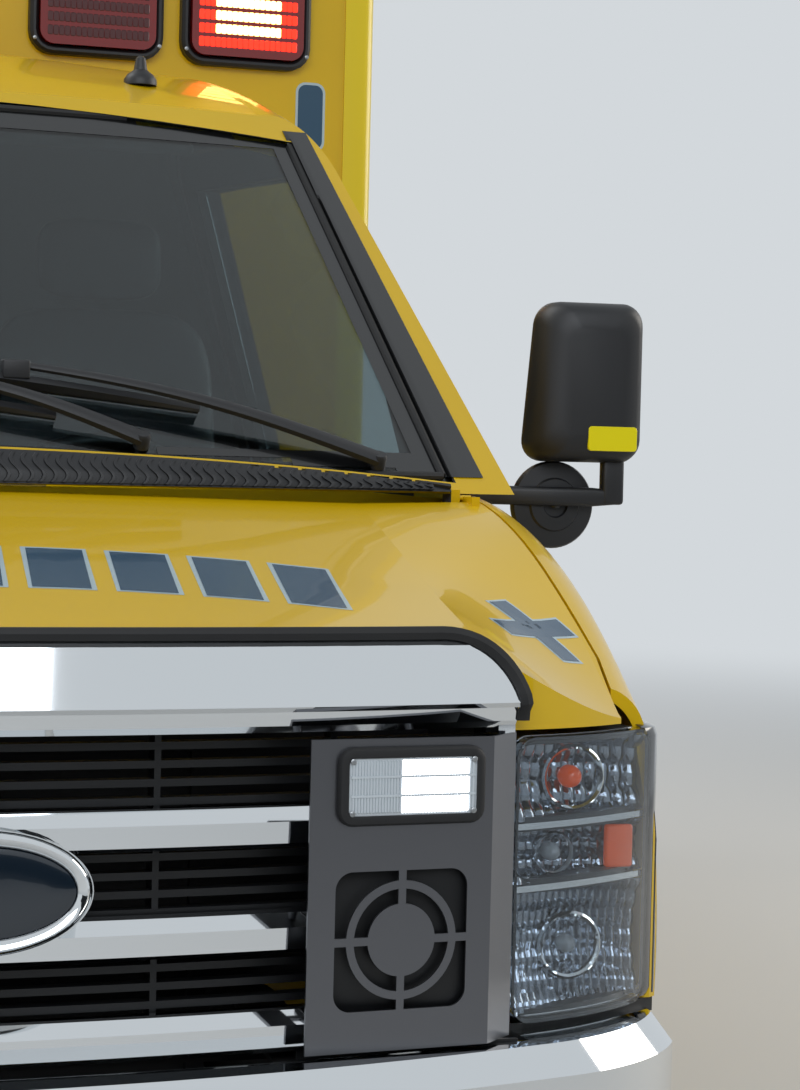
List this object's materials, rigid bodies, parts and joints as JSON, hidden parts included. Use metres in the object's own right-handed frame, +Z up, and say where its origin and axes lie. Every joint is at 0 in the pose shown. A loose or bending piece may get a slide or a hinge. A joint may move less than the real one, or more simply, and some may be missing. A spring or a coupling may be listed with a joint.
{
  "type": "ambulance",
  "caption": "Box-bodied van ambulance with a bright grille, opening doors and lockers, steered front wheels and twin rear wheels.",
  "frame": {"origin": "on the ground, midway along the length and width", "axes": "+Y towards the rear doors, +X towards the vehicle's left side, +Z up"},
  "size_m": [2.578, 6.4238, 2.7199],
  "materials": {
    "yellow_paint": "gloss, orange peel",
    "window_glass": "polished, faint green tint",
    "black_plastic": "fine grain",
    "chrome_trim": "polished",
    "stainless_panel": "brushed",
    "lamp_glass": "clear, polished",
    "black_frame_paint": "satin",
    "cast_metal": "as cast",
    "polished_wheel": "polished",
    "tyre_rubber": "matte",
    "floor_metal": "mill finish",
    "cabinet_laminate": "satin laminate",
    "red_lens": "gloss, ribbed",
    "clear_lens": "gloss, ribbed",
    "black_rubber": "matte",
    "dash_plastic": "fine grain",
    "seat_vinyl": "grained vinyl"
  },
  "bodies": {
    "chassis": {"bench_cushions": "seat_vinyl", "box_floor": "floor_metal", "box_front_wall": "yellow_paint", "box_left_wall": "yellow_paint", "box_rear_frame": "yellow_paint", "box_right_wall": "yellow_paint", "box_roof": "yellow_paint", "cab_shell": "yellow_paint", "clear_lights": "clear_lens", "cowl_grille": "black_plastic", "dashboard": "dash_plastic", "drive_shaft": "black_frame_paint", "engine": "cast_metal", "exhaust": "stainless_panel", "fenders": "yellow_paint", "frame": "black_frame_paint", "front_axle": "black_frame_paint", "front_bumper": "chrome_trim", "fuel_tank": "black_frame_paint", "grille_mesh": "black_plastic", "grille_surround": "chrome_trim", "headlight_housings": "chrome_trim", "headlights": "lamp_glass", "left_cabinets": "cabinet_laminate", "light_panels": "stainless_panel", "radiator_support": "black_plastic", "rear_axle": "black_frame_paint", "red_lights": "red_lens", "right_cabinets": "cabinet_laminate", "rubber_parts": "black_rubber", "seats": "seat_vinyl", "steps": "floor_metal", "windshield": "window_glass"},
    "left_steer": {"left_knuckle": "cast_metal"},
    "right_steer": {"right_knuckle": "cast_metal"},
    "left_front_wheel": {"left_front_rim": "polished_wheel", "left_front_tyre": "tyre_rubber"},
    "right_front_wheel": {"right_front_rim": "polished_wheel", "right_front_tyre": "tyre_rubber"},
    "left_rear_wheels": {"left_rear_rims": "polished_wheel", "left_rear_tyres": "tyre_rubber"},
    "right_rear_wheels": {"right_rear_rims": "polished_wheel", "right_rear_tyres": "tyre_rubber"},
    "steering_wheel_body": {"steering_wheel": "black_plastic"},
    "hood_body": {"hood": "yellow_paint"},
    "left_cab_door_body": {"left_cab_door": "yellow_paint", "left_door_glass": "window_glass", "left_mirror": "black_plastic"},
    "right_cab_door_body": {"right_cab_door": "yellow_paint", "right_door_glass": "window_glass", "right_mirror": "black_plastic"},
    "side_door_body": {"side_door": "yellow_paint", "side_door_glass": "window_glass"},
    "left_front_locker_body": {"left_front_locker_door": "yellow_paint"},
    "left_rear_locker_body": {"left_rear_locker_door": "yellow_paint"},
    "right_rear_locker_body": {"right_rear_locker_door": "yellow_paint"},
    "left_rear_door_body": {"left_rear_door": "yellow_paint", "left_rear_glass": "window_glass"},
    "right_rear_door_body": {"right_rear_door": "yellow_paint", "right_rear_glass": "window_glass"}
  },
  "joints": [
    {"name": "left_steering", "type": "hinge", "parent": "chassis", "child": "left_steer", "pos_m": [0.8, -2.392, 0.372], "axis": [0, 0, 1], "range_deg": [-32, 32]},
    {"name": "right_steering", "type": "hinge", "parent": "chassis", "child": "right_steer", "pos_m": [-0.8, -2.392, 0.372], "axis": [0, 0, 1], "range_deg": [-32, 32]},
    {"name": "steering_wheel_turn", "type": "hinge", "parent": "chassis", "child": "steering_wheel_body", "pos_m": [0.43, -1.722, 1.235], "axis": [0, 0.7541, 0.6568], "range_deg": [-512, 512]},
    {"name": "left_front_roll", "type": "hinge", "parent": "left_steer", "child": "left_front_wheel", "pos_m": [0.875, -2.392, 0.372], "axis": [1, 0, 0], "continuous": true},
    {"name": "right_front_roll", "type": "hinge", "parent": "right_steer", "child": "right_front_wheel", "pos_m": [-0.875, -2.392, 0.372], "axis": [1, 0, 0], "continuous": true},
    {"name": "left_rear_roll", "type": "hinge", "parent": "chassis", "child": "left_rear_wheels", "pos_m": [0.945, 1.621, 0.372], "axis": [1, 0, 0], "continuous": true},
    {"name": "right_rear_roll", "type": "hinge", "parent": "chassis", "child": "right_rear_wheels", "pos_m": [-0.945, 1.621, 0.372], "axis": [1, 0, 0], "continuous": true},
    {"name": "hood_hinge", "type": "hinge", "parent": "chassis", "child": "hood_body", "pos_m": [0, -2.319, 1.306], "axis": [-1, 0, 0], "range_deg": [0, 50]},
    {"name": "left_cab_door_hinge", "type": "hinge", "parent": "chassis", "child": "left_cab_door_body", "pos_m": [0.992, -2.012, 0.9], "axis": [0, 0, -1], "range_deg": [0, 65]},
    {"name": "right_cab_door_hinge", "type": "hinge", "parent": "chassis", "child": "right_cab_door_body", "pos_m": [-0.992, -2.012, 0.9], "axis": [0, 0, 1], "range_deg": [0, 65]},
    {"name": "side_door_hinge", "type": "hinge", "parent": "chassis", "child": "side_door_body", "pos_m": [-1.2, -0.735, 1.4], "axis": [0, 0, 1], "range_deg": [0, 110]},
    {"name": "left_front_locker_hinge", "type": "hinge", "parent": "chassis", "child": "left_front_locker_body", "pos_m": [1.2, -0.775, 1.2], "axis": [0, 0, -1], "range_deg": [0, 110]},
    {"name": "left_rear_locker_hinge", "type": "hinge", "parent": "chassis", "child": "left_rear_locker_body", "pos_m": [1.2, 2.185, 1], "axis": [0, 0, -1], "range_deg": [0, 110]},
    {"name": "right_rear_locker_hinge", "type": "hinge", "parent": "chassis", "child": "right_rear_locker_body", "pos_m": [-1.2, 2.185, 1.2], "axis": [0, 0, 1], "range_deg": [0, 110]},
    {"name": "left_rear_door_hinge", "type": "hinge", "parent": "chassis", "child": "left_rear_door_body", "pos_m": [0.703, 2.988, 1.6], "axis": [0, 0, -1], "range_deg": [0, 110]},
    {"name": "right_rear_door_hinge", "type": "hinge", "parent": "chassis", "child": "right_rear_door_body", "pos_m": [-0.703, 2.988, 1.6], "axis": [0, 0, 1], "range_deg": [0, 110]}
  ],
  "couplings": [
    {"joint": "right_steering", "follows": "left_steering", "ratio": 1},
    {"joint": "steering_wheel_turn", "follows": "left_steering", "ratio": 16}
  ]
}
